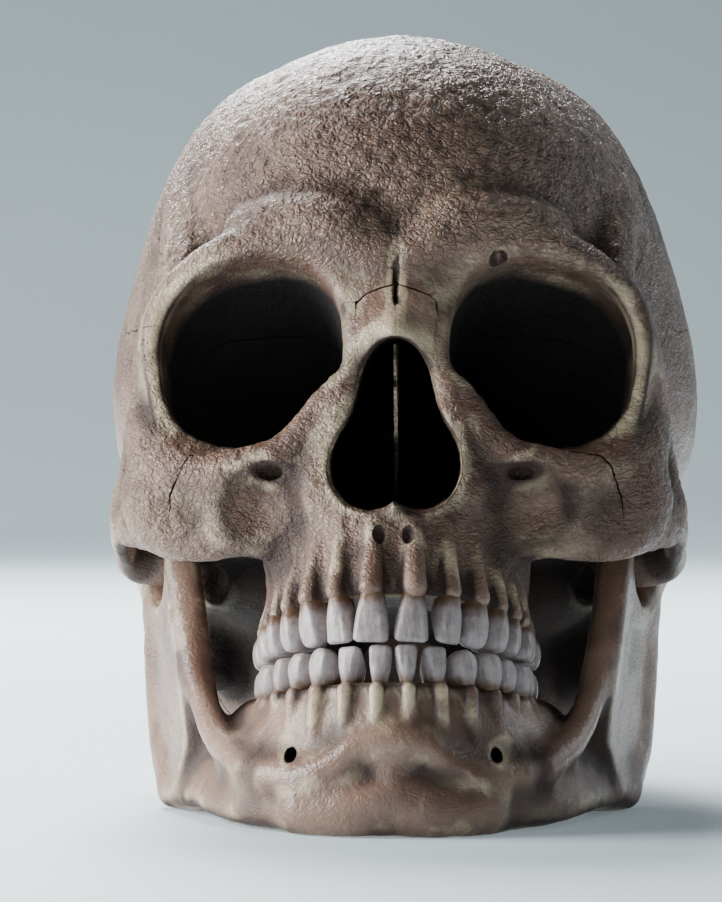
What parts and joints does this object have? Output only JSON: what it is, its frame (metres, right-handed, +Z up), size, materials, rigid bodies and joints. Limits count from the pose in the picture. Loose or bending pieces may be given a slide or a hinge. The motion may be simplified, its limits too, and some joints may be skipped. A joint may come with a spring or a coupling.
{
  "type": "human skull",
  "caption": "Life-size still model of a human skull with its lower jaw and teeth, tipped back to rest on its jaw and the back of its head.",
  "frame": {"origin": "middle of the model's box, on the surface that it rests on", "axes": "+Z up, -Y the way the face looks, +X towards the viewer's right, which is the skull's own left"},
  "size_m": [0.1366, 0.221, 0.1727],
  "materials": {
    "frontal": "aged bone, satin on the raised parts and matt in the hollows",
    "parietal_right": "aged bone, satin on the raised parts and matt in the hollows",
    "parietal_left": "aged bone, satin on the raised parts and matt in the hollows",
    "temporal_right": "aged bone, satin on the raised parts and matt in the hollows",
    "temporal_left": "aged bone, satin on the raised parts and matt in the hollows",
    "occipital": "aged bone, satin on the raised parts and matt in the hollows",
    "sphenoid": "aged bone, satin on the raised parts and matt in the hollows",
    "zygomatic_right": "aged bone, satin on the raised parts and matt in the hollows",
    "zygomatic_left": "aged bone, satin on the raised parts and matt in the hollows",
    "maxilla_right": "aged bone, satin on the raised parts and matt in the hollows",
    "maxilla_left": "aged bone, satin on the raised parts and matt in the hollows",
    "nasal_right": "aged bone, satin on the raised parts and matt in the hollows",
    "nasal_left": "aged bone, satin on the raised parts and matt in the hollows",
    "vomer": "aged bone, satin on the raised parts and matt in the hollows",
    "mandible": "aged bone, satin on the raised parts and matt in the hollows"
  },
  "bodies": {
    "root": {"frontal": "frontal", "parietal_right": "parietal_right", "parietal_left": "parietal_left", "temporal_right": "temporal_right", "temporal_left": "temporal_left", "occipital": "occipital", "sphenoid": "sphenoid", "zygomatic_right": "zygomatic_right", "zygomatic_left": "zygomatic_left", "maxilla_right": "maxilla_right", "maxilla_left": "maxilla_left", "nasal_right": "nasal_right", "nasal_left": "nasal_left", "vomer": "vomer", "mandible": "mandible"}
  },
  "joints": []
}
